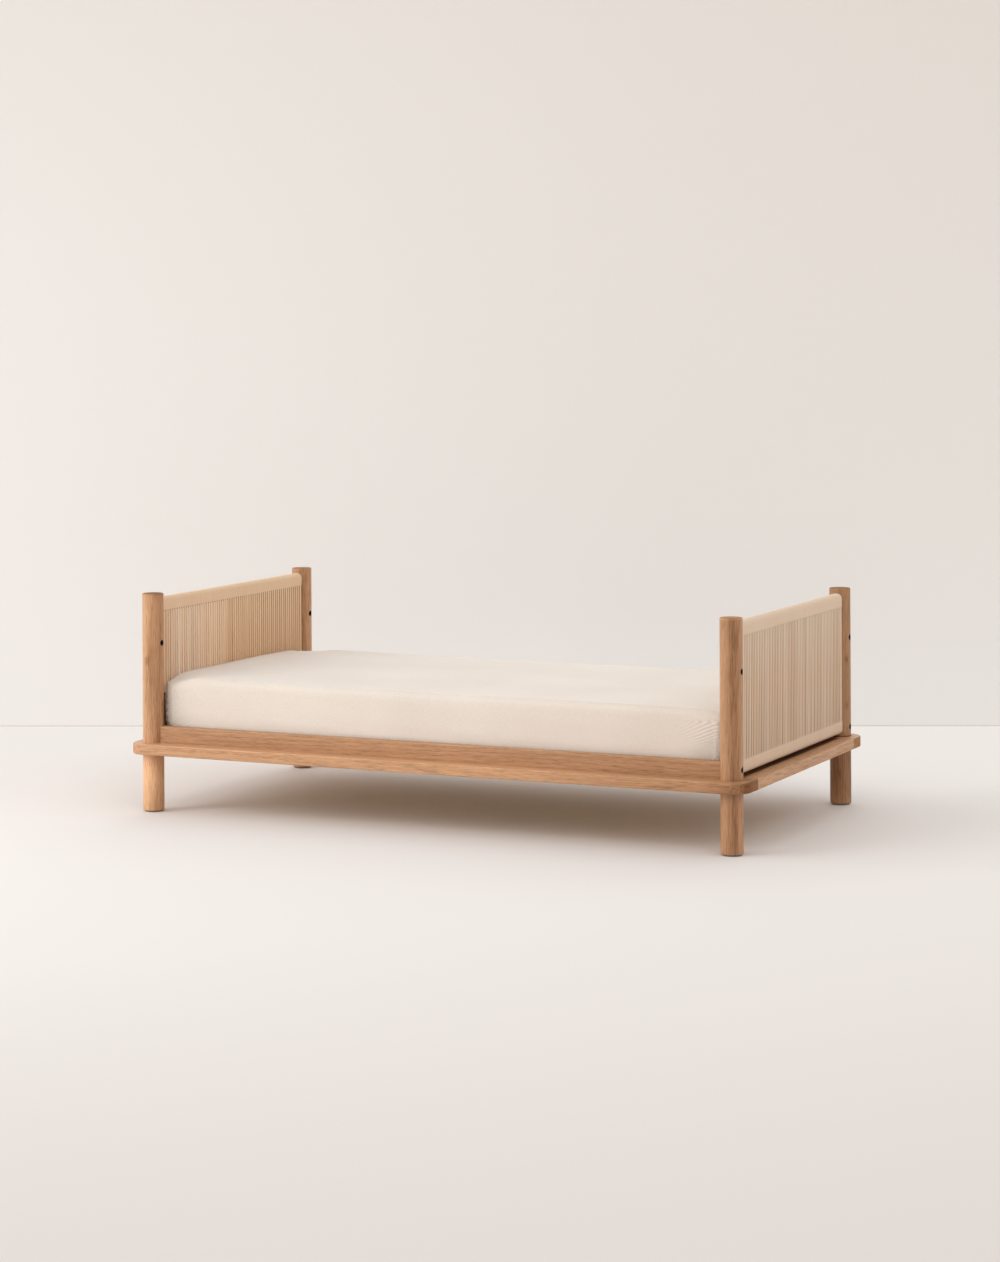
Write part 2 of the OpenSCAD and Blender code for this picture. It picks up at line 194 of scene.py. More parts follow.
def stage_material(name, paint, shaded, to_shade, reach, is_wall=False):
    """Paint that goes over into its shaded colour along a direction, from reach[0] to reach[1]."""
    material, tree, shader = new_material(name)
    place = add(tree, "TexCoord")["Object"]
    along = add(tree, "VectorMath", {0: place, 1: to_shade}, operation="DOT_PRODUCT")["Value"]
    base = blend_colours(tree, spread(tree, along, *reach), paint, shaded)
    if is_wall:
        height = split(tree, place)["Z"]
        seam = spread(tree, height, SEAM * 0.6, SEAM, 1.0, 0.0)
        base = blend_colours(tree, seam, base, SEAM_COLOUR)
    finish_shader(tree, shader, base, PAINT_ROUGHNESS)
    if is_wall:
        behind = add(tree, "NewGeometry")["Backfacing"]
        clear = add(tree, "BsdfTransparent")[0]
        both = add(tree, "MixShader", {0: behind, 1: shader.outputs[0], 2: clear})[0]
        out = next(n for n in tree.nodes if n.type == "OUTPUT_MATERIAL")
        tree.links.new(both, out.inputs["Surface"])
    return material


def place_mesh(name, shape, material=None):
    """Turns a bmesh into a smooth object at the origin."""
    mesh = bpy.data.meshes.new(name)
    shape.to_mesh(mesh)
    shape.free()
    mesh.shade_smooth()
    if material:
        mesh.materials.append(material)
    made = bpy.data.objects.new(name, mesh)
    bpy.context.scene.collection.objects.link(made)
    return made


def plane(name, corners, material):
    shape = bmesh.new()
    shape.faces.new([shape.verts.new(corner) for corner in corners])
    made = place_mesh(name, shape, material)
    return made


along_wall = Vector((math.cos(WALL_TURN), math.sin(WALL_TURN), 0))
foot, up = Vector(WALL_FOOT), Vector((0, 0, 1))
left_foot, right_foot = foot - along_wall * FLOOR_REACH, foot + along_wall * FLOOR_REACH
top = up * WALL_HEIGHT
wall_paint = stage_material(
    "wall_paint", WALL_COLOUR, WALL_SHADE, along_wall * 0.5 + up, WALL_FADE, is_wall=True
)
wall = plane("wall", [left_foot, right_foot, right_foot + top, left_foot + top], wall_paint)
for ray in ("diffuse", "glossy", "transmission", "shadow", "volume_scatter"):
    setattr(wall, "visible_" + ray, False)
reach = FLOOR_REACH
floor_paint = stage_material(
    "floor_paint", FLOOR_COLOUR, FLOOR_SHADE, FLOOR_FADE_TOWARDS, FLOOR_FADE
)
floor = plane(
    "floor",
    [(-reach, -reach, 0), (reach, -reach, 0), (reach, reach, 0), (-reach, reach, 0)],
    floor_paint,
)
print("stage:", floor.name, wall.name)

# %% [markdown]
# ## The light
#
# Under the bed the shadow is dark in the middle and soft on every side, each round post is lighter
# on its left, and the front darkens from left to right. So the studio is a room of pale walls with
# large soft windows on the left and in front, and one more lamp stands near the bed on that side.
# The world is that room: an even light, and broad bright patches at a few azimuths and elevations.
# The strongest is behind the bed, where a wall throws light back, and the next is on its right.
# Near the floor the light is warmer, because it comes back from wood and boards. The windows are
# sun lamps with very large discs. Azimuths count from +X towards +Y, as seen from above.

# %% The light
EVEN_LIGHT = 0.62
WARM_LOW = (1.0, 0.88, 0.73, 1)
COOL_HIGH = (1.0, 1.005, 1.01, 1)
TINT_RISE = (0.08, 0.4)
PATCH_SHARPNESS = 12

# Azimuth and elevation in degrees, and strength.
PATCHES = (
    (0, 35, 0.55),
    (100, 35, 1.10),
    (135, 8, 0.14),
    (135, 35, 0.09),
    (180, 8, 0.15),
    (180, 35, 0.14),
    (225, 8, 0.14),
    (270, 35, 0.24),
    (270, 60, 0.10),
    (315, 35, 0.16),
)

# Azimuth, elevation and width of the disc in degrees, and strength.
WINDOWS = (
    (225, 35, 28, 0.48),
    (315, 40, 18, 0.18),
    (190, 25, 20, 0.28),
    (270, 45, 18, 0.09),
)
LAMP_PLACE = (-2.2, -2.2, 0.9)
LAMP_AIM = (0, 0, 0.2)
LAMP_SIZE = 1.2
LAMP_WATTS = 15


def towards(azimuth, elevation):
    """The direction to a place in the sky, in degrees."""
    turn, rise = math.radians(azimuth), math.radians(elevation)
    flat = math.cos(rise)
    return Vector((math.cos(turn) * flat, math.sin(turn) * flat, math.sin(rise)))


world = bpy.data.worlds.new("studio")
bpy.context.scene.world = world
world.use_nodes = True
sky = world.node_tree
sky.nodes.clear()
direction = add(sky, "TexCoord")["Generated"]
glow = EVEN_LIGHT
for azimuth, elevation, strength in PATCHES:
    sides = {0: direction, 1: towards(azimuth, elevation)}
    near = add(sky, "VectorMath", sides, operation="DOT_PRODUCT")["Value"]
    patch = calculate(sky, "POWER", calculate(sky, "MAXIMUM", near, 0.0), PATCH_SHARPNESS)
    glow = calculate(sky, "MULTIPLY_ADD", patch, strength, glow)
rise = spread(sky, split(sky, direction)["Z"], *TINT_RISE)
tint = blend_colours(sky, rise, WARM_LOW, COOL_HIGH)
background = add(sky, "Background", {"Color": tint, "Strength": glow})[0]
add(sky, "OutputWorld", {"Surface": background})


def lamp(name, kind, watts, back):
    """A lamp whose light comes from the direction back."""
    made = bpy.data.objects.new(name, bpy.data.lights.new(name, kind))
    bpy.context.scene.collection.objects.link(made)
    made.data.energy = watts
    made.rotation_euler = back.to_track_quat("Z", "Y").to_euler()
    return made


for azimuth, elevation, disc, strength in WINDOWS:
    window = lamp("window_" + str(azimuth), "SUN", strength, towards(azimuth, elevation))
    window.data.angle = math.radians(disc)
soft_lamp = lamp("soft_lamp", "AREA", LAMP_WATTS, Vector(LAMP_PLACE) - Vector(LAMP_AIM))
soft_lamp.location = LAMP_PLACE
soft_lamp.data.size = LAMP_SIZE
print("patches of light:", len(PATCHES), "and windows:", len(WINDOWS))

# %% [markdown]
# ## Oak
#
# The frame is solid oak with a thin coat of oil. Oak grows a ring of coarse pores each spring,
# which shows as fine dark dashes along the grain, and denser, paler wood after it. A picture of oak
# could be wrapped round each piece, but then the grain would break at every edge. Here the wood is
# a solid block of rings round the heart of a log, and each piece is cut from its own place in it.
# So a flat board shows long streaks and a few arches, a post shows different grain on each side,
# and an end that is cut across the grain shows rings and looks darker, as the open ends take up
# more oil.
#
# Over the rings lie four layers of noise, each stretched along the grain. Flecks, fibres and soft
# clouds add up to the wood's shade, and short dashes of open pores are drawn dark over it.

# %% Oak
OAK_PALE = colour(210, 160, 118)
OAK_DEEP = colour(165, 118, 80)
# The colour of open pores, and also of the deepest painted shade.
OAK_PORE_AND_DEEP_SHADE = colour(104, 68, 44)
OAK_END = (0.70, 0.65, 0.58, 1)
RING_WIDTH = 0.0042
HEART_AWAY = 0.11
HEART_WANDER = 0.05
HEART_WAVE = 0.004
KNOT_BEND = 0.012
SPRING_SHARE = 0.45
SPRING_DEPTH = 0.16
AXES_FROM_GRAIN = {"X": "XYZ", "Y": "YXZ", "Z": "ZXY"}

# Scale along the grain, scale across it, and detail.
FLECK = (30.0, 680.0, 3.0)
FIBRE = (16.0, 460.0, 3.0)
DASH = (55.0, 1300.0, 1.0)
CLOUD = (4.0, 80.0, 2.0)


def oak(name, grain, log, tone=1.0, marks=()):
    """Oak whose grain runs along X, Y or Z, from log number log, lighter or darker by tone.

    A mark is a knot, a darker streak, paler wood, or a patch of painted light or shade: its middle,
    its three half-sizes and its depth of colour.
    """
    material, tree, shader = new_material(name)
    coordinates = add(tree, "TexCoord")
    place = coordinates["Object"]
    axes = split(tree, place)
    along, across, through = (axes[axis] for axis in AXES_FROM_GRAIN[grain])

    def stretched(long_scale, cross_scale):
        parts = {
            0: calculate(tree, "MULTIPLY_ADD", along, long_scale, log * 7.31),
            1: calculate(tree, "MULTIPLY_ADD", across, cross_scale, log * 3.17),
            2: calculate(tree, "MULTIPLY", through, cross_scale),
        }
        return add(tree, "CombineXYZ", parts)[0]

    def grain_noise(long_scale, cross_scale, detail):
        parts = {"Vector": stretched(long_scale, cross_scale), "Scale": 1.0, "Detail": detail}
        return add(tree, "TexNoise", parts)[0]

    # The marks: knots, streaks and paler wood, and patches of painted light and shade.
    darker = 0.0
    for middle, half_size, strength in marks:
        offset = add(tree, "VectorMath", {0: place, 1: middle}, operation="SUBTRACT")[0]
        share = add(tree, "VectorMath", {0: offset, 1: half_size}, operation="DIVIDE")[0]
        square = add(tree, "VectorMath", {0: share, 1: share}, operation="DOT_PRODUCT")["Value"]
        fade = calculate(tree, "EXPONENT", calculate(tree, "MULTIPLY", square, -1.0))
        darker = calculate(tree, "MULTIPLY_ADD", fade, strength, darker)

    heart_across = HEART_AWAY * math.cos(log) - HEART_WANDER / 2
    heart_through = HEART_AWAY * math.sin(log)
    wander, wave = grain_noise(1.3, 3.0, 1.0), grain_noise(5.0, 60.0, 2.0)
    side = calculate(tree, "MULTIPLY_ADD", wander, HEART_WANDER, heart_across)
    depth = calculate(tree, "MULTIPLY_ADD", wave, HEART_WAVE, heart_through)
    parts = {1: calculate(tree, "ADD", across, side), 2: calculate(tree, "ADD", through, depth)}
    from_heart = add(tree, "CombineXYZ", parts)[0]
    radius = add(tree, "VectorMath", {0: from_heart}, operation="LENGTH")[1]
    radius = calculate(tree, "MULTIPLY_ADD", darker, KNOT_BEND, radius)
    ring = calculate(tree, "FRACT", calculate(tree, "DIVIDE", radius, RING_WIDTH))
    spring = spread(tree, ring, 0.0, SPRING_SHARE, 1.0, 0.0)

    fleck, fibre = grain_noise(*FLECK), grain_noise(*FIBRE)
    dash, cloud = grain_noise(*DASH), grain_noise(*CLOUD)
    in_spring = calculate(tree, "MULTIPLY_ADD", spring, 0.7, 0.3)
    pores = calculate(tree, "MULTIPLY", spread(tree, dash, 0.54, 0.66), in_spring)
    shade = spread(tree, fibre, 0.3, 0.72, 0.0, 0.45)
    shade = calculate(tree, "MULTIPLY_ADD", spring, SPRING_DEPTH, shade)
    shade = calculate(tree, "ADD", shade, spread(tree, cloud, 0.3, 0.7, -0.08, 0.28))
    shade = calculate(tree, "ADD", shade, spread(tree, fleck, 0.46, 0.70, -0.08, 0.46))
    shade = calculate(tree, "ADD", shade, darker)
    wood = blend_colours(tree, shade, OAK_PALE, OAK_DEEP, clamp=False)
    # Past full depth the shade goes over into the pore colour: the thin dark marks reach it, and
    # there it is painted shade.
    very_dark = spread(tree, shade, 1.0, 2.4, 0.0, 0.8)
    pores_and_deep_shade = calculate(tree, "MAXIMUM", calculate(tree, "MULTIPLY", pores, 0.6), very_dark)
    wood = blend_colours(tree, pores_and_deep_shade, wood, OAK_PORE_AND_DEEP_SHADE)

    facing = split(tree, coordinates["Normal"])[grain]
    cut_across = spread(tree, calculate(tree, "ABSOLUTE", facing), 0.55, 0.9)
    wood = blend_colours(tree, cut_across, wood, OAK_END, "MULTIPLY")
    warm_tone = (tone, tone**1.15, tone**1.4, 1)
    wood = blend_colours(tree, 1.0, wood, warm_tone, "MULTIPLY")
    height = calculate(tree, "SUBTRACT", calculate(tree, "MULTIPLY", fibre, 0.3), pores)
    roughness = calculate(tree, "ADD", spread(tree, shade, 0.0, 1.0, 0.38, 0.52), cut_across)
    finish_shader(tree, shader, wood, roughness, height, 0.00025, Specular_IOR_Level=0.5)
    return material


def dress(node, material):
    for slot in nodes[node].material_slots:
        slot.material = material


# The grain's direction, the number of the log, and how light the piece is.
OAK_PIECES = {
    "post_front_left": ("Z", 1, 1.08),
    "post_front_right": ("Z", 2, 0.90),
    "post_back_left": ("Z", 3, 0.96),
    "post_back_right": ("Z", 4, 0.76),
    "ledge_front_board": ("X", 5, 1.07),
    "ledge_back_board": ("X", 6, 1.05),
    "ledge_left_board": ("Y", 7, 1.05),
    "ledge_right_board": ("Y", 8, 1.04),
    "side_rail_front": ("X", 9, 0.94),
    "side_rail_back": ("X", 10, 0.98),
    "headboard_top_rail": ("Y", 11, 1.0),
    "headboard_bottom_rail": ("Y", 12, 1.0),
    "footboard_top_rail": ("Y", 13, 1.0),
    "footboard_bottom_rail": ("Y", 14, 1.0),
    "headboard_rod": ("Z", 15, 0.85),
    "footboard_rod": ("Z", 16, 0.85),
}

# Marks: middle, half-sizes, and depth of colour. Less than nothing is paler. Some are knots,
# streaks and paler wood, and the others are painted light and shade, as noted at each. The thin
# dark ones at the height of the ledge's top stand for the deep shade that lies there, and are
# painted shade.
WOOD_MARKS_AND_PAINTED_SHADING = {
    "post_front_left": [
        ((-0.718, -0.389, 0.330), (0.012, 0.03, 0.115), 0.50),
        ((-0.727, -0.389, 0.355), (0.006, 0.02, 0.011), 0.45),
        ((-0.727, -0.389, 0.080), (0.05, 0.05, 0.060), -0.95),
        # Painted light on the left side, and painted shade on the right side, the whole height.
        ((-0.741, -0.383, 0.300), (0.014, 0.014, 1.000), -0.25),
        ((-0.702, -0.375, 0.300), (0.016, 0.016, 1.000), 0.40),
        # Painted shade in the gap between the post and the sheet.
        ((-0.701, -0.358, 0.235), (0.008, 0.008, 0.050), 0.8),
        # A darker top end.
        ((-0.725, -0.364, 0.512), (0.03, 0.03, 0.004), 0.7),
    ],
    "post_front_right": [
        ((0.717, -0.388, 0.497), (0.005, 0.02, 0.012), 0.5),
        # Painted shade on the right side, and painted light on the left side, the whole height.
        ((0.7375, -0.3857, 0.300), (0.012, 0.012, 1.000), 0.65),
        ((0.7045, -0.378, 0.300), (0.008, 0.008, 1.000), -0.3),
        # A paler top end.
        ((0.725, -0.364, 0.512), (0.03, 0.03, 0.004), -0.9),
    ],
    # Painted shade on the side next to the panel.
    "post_back_left": [((-0.7107, 0.3435, 0.400), (0.009, 0.009, 0.300), 0.6)],
    "post_back_right": [
        ((0.746, 0.350, 0.345), (0.010, 0.006, 0.007), 0.7),
        ((0.746, 0.350, 0.235), (0.010, 0.006, 0.009), 0.5),
        # Painted shade on the foot under the ledge, and a thin line of it where the post meets the
        # ledge.
        ((0.725, 0.364, 0.070), (0.06, 0.06, 0.075), 0.75),
        ((0.725, 0.364, 0.162), (0.05, 0.05, 0.0022), 2.0),
    ],
    "ledge_front_board": [
        # Painted shade towards the right end, a darker front right corner, and painted light along
        # the top edge.
        ((0.76, -0.41, 0.15), (0.42, 0.2, 0.1), 0.5),
        ((0.77, -0.40, 0.16), (0.06, 0.06, 0.05), 0.4),
        ((0.0, -0.40, 0.162), (1.5, 0.04, 0.003), -0.35),
    ],
    # Painted shade under the end panel.
    "ledge_left_board": [((-0.725, 0.0, 0.162), (0.0125, 0.5, 0.006), 2.6)],
    "ledge_right_board": [
        # Painted shade under the end panel, and a little on the top beside it.
        ((0.725, 0.0, 0.162), (0.0125, 0.5, 0.006), 2.6),
        ((0.757, 0.0, 0.162), (0.050, 0.5, 0.003), 0.1),
    ],
    "side_rail_front": [
        # Painted shade towards both ends.
        ((-0.60, -0.37, 0.18), (0.40, 0.2, 0.1), 0.15),
        ((0.70, -0.37, 0.18), (0.36, 0.2, 0.1), 0.25),
    ],
}
for node, (grain, log, tone) in OAK_PIECES.items():
    dress(node, oak("oak_" + node, grain, log, tone, WOOD_MARKS_AND_PAINTED_SHADING.get(node, ())))
print("oak pieces:", len(OAK_PIECES))

# %% [markdown]
# ## Slats, webbing and metal
#
# The slats are planed pine, and lighter than the oak. The dowels are beech, which has short dark
# flecks and no rings to speak of. A woven tape holds the slats at their distance. The bolts are
# black, the screws underneath are bright zinc, the plugs are plastic and the feet are grey felt.

# %% Slats and dowels
PINE_PALE = colour(228, 192, 145)
PINE_DEEP = colour(200, 152, 104)
BEECH_PALE = colour(222, 184, 150)
BEECH_FLECK = colour(176, 128, 96)


def pine(name, log):
    material, tree, shader = new_material(name)
    axes = split(tree, add(tree, "TexCoord")["Object"])
    parts = {
        0: calculate(tree, "MULTIPLY_ADD", axes["X"], 26.0, log * 5.7),
        1: calculate(tree, "MULTIPLY_ADD", axes["Y"], 1.4, log * 2.9),
        2: calculate(tree, "MULTIPLY", axes["Z"], 26.0),
    }
    stretched = add(tree, "CombineXYZ", parts)[0]
    bend = add(tree, "TexNoise", {"Vector": stretched, "Scale": 1.0, "Detail": 2.0})[0]
    rings = calculate(tree, "FRACT", calculate(tree, "MULTIPLY", bend, 9.0))
    line = spread(tree, rings, 0.35, 1.0)
    wood = blend_colours(tree, calculate(tree, "MULTIPLY", line, line), PINE_PALE, PINE_DEEP)
    finish_shader(tree, shader, wood, 0.62, line, 0.0001, Specular_IOR_Level=0.35)
    return material


def beech(name):
    material, tree, shader = new_material(name)
    place = add(tree, "TexCoord")["Object"]
    speck = add(tree, "TexNoise", {"Vector": place, "Scale": 900.0})[0]
    fleck = spread(tree, speck, 0.58, 0.66)
    wood = blend_colours(tree, fleck, BEECH_PALE, BEECH_FLECK)
    finish_shader(tree, shader, wood, 0.6, speck, 0.0001)
    return material


slat_nodes = sorted(node for node in nodes if node.startswith("slat_") and node[-1].isdigit())
for log, node in enumerate(slat_nodes):
    dress(node, pine("pine_" + node, log))
print("slats:", slat_nodes)

# %% Metal, plastic, felt and tape
TAPE_THREAD = 0.0018
TAPE_PALE, TAPE_SHADE = colour(236, 230, 218), colour(206, 198, 182)
ZINC_PALE, ZINC_DARK = colour(190, 194, 200), colour(150, 154, 160)
BOLT_PALE, BOLT_DARK = colour(22, 21, 21), colour(14, 13, 13)
PLUG_PALE, PLUG_DARK = colour(21, 21, 22), colour(14, 14, 15)
FELT_PALE, FELT_DARK = colour(148, 145, 141), colour(96, 94, 92)


def plain(name, dark, pale, roughness, scale, depth, **constants):
    """A plain finish with a fine unevenness of its own."""
    material, tree, shader = new_material(name)
    place = add(tree, "TexCoord")["Object"]
    grain = add(tree, "TexNoise", {"Vector": place, "Scale": scale, "Detail": 3.0})[0]
    base = blend_colours(tree, spread(tree, grain, 0.35, 0.65), dark, pale)
    rough = spread(tree, grain, 0.3, 0.7, roughness * 0.85, roughness * 1.15)
    finish_shader(tree, shader, base, rough, grain, depth, **constants)
    return material


def woven_tape():
    material, tree, shader = new_material("woven_tape")
    axes = split(tree, add(tree, "TexCoord")["Object"])
    across = calculate(tree, "MULTIPLY", axes["Y"], 2 * math.pi / TAPE_THREAD)
    along = calculate(tree, "MULTIPLY", axes["X"], 2 * math.pi / TAPE_THREAD)
    waves = [calculate(tree, "SINE", across), calculate(tree, "SINE", along)]
    weave = calculate(tree, "MULTIPLY_ADD", calculate(tree, "MULTIPLY", *waves), 0.5, 0.5)
    tape = blend_colours(tree, weave, TAPE_SHADE, TAPE_PALE)
    finish_shader(tree, shader, tape, 0.85, weave, 0.0003)
    return material


# Slot names of the frame, and what each slot gets.
FINISHES = {
    "zinc_steel": plain("zinc_plate", ZINC_DARK, ZINC_PALE, 0.34, 300.0, 0.00005, Metallic=1.0),
    "black_steel": plain(
        "black_bolt", BOLT_DARK, BOLT_PALE, 0.6, 500.0, 0.00003, Specular_IOR_Level=0.2
    ),
    "black_plastic": plain(
        "black_plug", PLUG_DARK, PLUG_PALE, 0.7, 900.0, 0.00002, Specular_IOR_Level=0.15
    ),
    "glide_felt": plain("grey_felt", FELT_DARK, FELT_PALE, 0.95, 1800.0, 0.0006),
    "webbing": woven_tape(),
    "beech_dowel": beech("beech"),
}
finished = 0
for part in frame["record"]["subparts"]:
    if part["material_slot"] in FINISHES:
        dress(part["node"], FINISHES[part["material_slot"]])
        finished += 1
print("other finishes on", finished, "nodes")

# %% [markdown]
# ## The cotton cord
#
# Each end panel is one long cotton cord, wound round a top rail and a bottom rail. Most turns go
# round both rails and give the upright strands, in pairs. One more turn goes round each rail alone
# between two pairs, so that the rails are covered without a gap. A flat board with a striped bump
# would look right from far away, but not where one sees between the strands to the room behind.
# So every turn is a real closed tube: a ring of points that is extruded step by step round the
# rails' section and joined to its own start.
#
# The finish reads two values that each face carries: tone, how pale its turn is, and inside, how
# deep it lies in shade. In the photograph the turns over the rails look more even than the strands.
# The head panel's cord is painted warmer and darker than the foot panel's, as shade, less so over
# the rails, and the strands are painted paler from the middle up to the top band, as light from
# above.

# %% Measures of a winding
PAIRS = 65
CORD = 0.0031
RAIL_ROUND = 0.008
STRAIGHT = 0.06
SLOT_ROUND = 0.0022
ROD_RADIUS = 0.005
SIDES = 6

panel_low, panel_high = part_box("footboard_cord")
BAND = panel_high.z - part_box("footboard_top_rail")[0].z + CORD
HALF_LENGTH = panel_high.y
PITCH = 2 * HALF_LENGTH / PAIRS
HALF_DEPTH = (panel_high.x - panel_low.x - CORD) / 2
TOP, BOTTOM = panel_high.z - CORD / 2, panel_low.z + CORD / 2
MIDDLE = (TOP + BOTTOM) / 2
HALF_HEIGHT = (TOP - BOTTOM) / 2
BEND = RAIL_ROUND + CORD / 2
INSET = HALF_DEPTH - BEND
print("winding: pitch", round(PITCH * 1000, 2), "mm, height", round(TOP - BOTTOM, 4), "m")

# %% Cotton cord, twisted
CORD_COTTON = colour(238, 209, 178)
CORD_SHADE = colour(212, 176, 142)
CORD_BRIGHT = colour(248, 228, 206)
CORD_INSIDE = colour(150, 108, 77)
CORD_CORNER = colour(88, 62, 46)
COTTON_ROUGHNESS = 0.88
# Painted shade on the head panel's cord, warmer and darker, and less of it over the rails; painted
# light on the upper strands.
HEAD_PAINTED_SHADE = (1.05, 0.93, 0.77, 1)
HEAD_SHADE_ON_BANDS = 0.63
PAINTED_LIGHT_ABOVE = 0.45
BAND_TONE = 0.5
BAND_UNEVEN = 0.25
YARNS = 3
LAY_LENGTH = 0.011


def twisted_cotton():
    """The twist follows the tube's own map: U goes round the cord, and V counts metres along it."""
    material, tree, shader = new_material("cotton_cord")
    coordinates = add(tree, "TexCoord")
    around = split(tree, coordinates["UV"])
    turns = calculate(tree, "MULTIPLY", around["X"], YARNS)
    climb = calculate(tree, "MULTIPLY", around["Y"], YARNS / LAY_LENGTH)
    phase = calculate(tree, "MULTIPLY", calculate(tree, "ADD", turns, climb), 2 * math.pi)
    yarn = calculate(tree, "MULTIPLY_ADD", calculate(tree, "SINE", phase), 0.5, 0.5)
    place = coordinates["Object"]
    fuzz = add(tree, "TexNoise", {"Vector": place, "Scale": 900.0, "Detail": 2.0})[0]
    axes = split(tree, place)

    from_middle = calculate(tree, "ABSOLUTE", calculate(tree, "SUBTRACT", axes["Z"], MIDDLE))
    edge = HALF_HEIGHT + CORD / 2 - BAND
    on_rail = spread(tree, from_middle, edge, edge + CORD)
    tone = add(tree, "Attribute", attribute_name="tone")["Fac"]
    quiet = calculate(tree, "MULTIPLY_ADD", tone, BAND_UNEVEN, BAND_TONE)
    # Painted light: the strands grow paler from the middle up to the top band.
    above = spread(tree, axes["Z"], MIDDLE, TOP - BAND, 0.0, PAINTED_LIGHT_ABOVE)
    tone = add(tree, "Mix", {0: on_rail, 2: calculate(tree, "ADD", tone, above), 3: quiet})[0]
    cotton = blend_colours(tree, yarn, CORD_SHADE, CORD_COTTON)
    cotton = blend_colours(tree, spread(tree, tone, 0.0, 1.0, 0.0, 0.8), cotton, CORD_BRIGHT)
    cotton = blend_colours(tree, spread(tree, tone, 0.0, -1.0, 0.0, 0.5), cotton, CORD_SHADE)

    inside = add(tree, "Attribute", attribute_name="inside")["Fac"]
    cotton = blend_colours(tree, inside, cotton, CORD_INSIDE)
    cotton = blend_colours(tree, spread(tree, inside, 1.0, 2.0), cotton, CORD_CORNER)
    # Painted shade: the head panel's cord goes warmer and darker, less so over the rails.
    at_head = spread(tree, axes["X"], 0.1, -0.1)
    tint = calculate(tree, "MULTIPLY", at_head, spread(tree, on_rail, 0.0, 1.0, 1.0, HEAD_SHADE_ON_BANDS))
    cotton = blend_colours(tree, tint, cotton, HEAD_PAINTED_SHADE, "MULTIPLY")
    height = calculate(tree, "MULTIPLY_ADD", fuzz, 0.25, yarn)
    sheen = {"Sheen_Weight": 0.25, "Sheen_Roughness": 0.6}
    finish_shader(tree, shader, cotton, COTTON_ROUGHNESS, height, 0.0004, **sheen)
    return material


COTTON_CORD = twisted_cotton()
print("cord: a lay of", LAY_LENGTH * 1000, "mm")


# %% The paths of the two kinds of turn
def arc(centre_x, centre_z, radius, start, end, steps):
    angles = [math.radians(start + (end - start) * i / steps) for i in range(steps + 1)]
    return [(centre_x + radius * math.cos(a), centre_z + radius * math.sin(a)) for a in angles]


def long_turn():
    """Round both rails, seen along the rails: up the outer face, and down the inner one."""
    path = []
    for side, start in ((1, 0), (-1, 90)):
        path += arc(side * INSET, TOP - BEND, BEND, start, start + 90, 3)
    path += [(-HALF_DEPTH, MIDDLE + STRAIGHT), (-HALF_DEPTH, MIDDLE - STRAIGHT)]
    for side, start in ((-1, 180), (1, 270)):
        path += arc(side * INSET, BOTTOM + BEND, BEND, start, start + 90, 3)
    return path + [(HALF_DEPTH, MIDDLE - STRAIGHT), (HALF_DEPTH, MIDDLE + STRAIGHT)]


def short_turn(at_top):
    """Round one rail: over its rounded side, and back along its flat side between the strands."""
    flat, near = HALF_DEPTH - SLOT_ROUND, TOP - BAND + CORD
    path = []
    for side, start in ((1, 0), (-1, 90)):
        path += arc(side * INSET, TOP - BEND, BEND, start, start + 90, 3)
    for side, start in ((-1, 180), (1, 270)):
        path += arc(side * flat, near + SLOT_ROUND, SLOT_ROUND, start, start + 90, 2)
    if not at_top:
        path = [(x, TOP + BOTTOM - z) for x, z in reversed(path)]
    return path


print("points:", len(long_turn()), "round both rails,", len(short_turn(True)), "round one")

# %% [markdown]
# One turn is drawn at the origin of the panel, and then copied along it. The copies aren't quite
# alike: each lies a fraction of a millimetre out of place, as a hand-wound cord does, and has its
# own tone, because cotton isn't dyed evenly. The sides that look into the panel are darker, because
# hardly any light gets in there. A few strands are clearly paler in the photograph, near the middle
# of each panel.


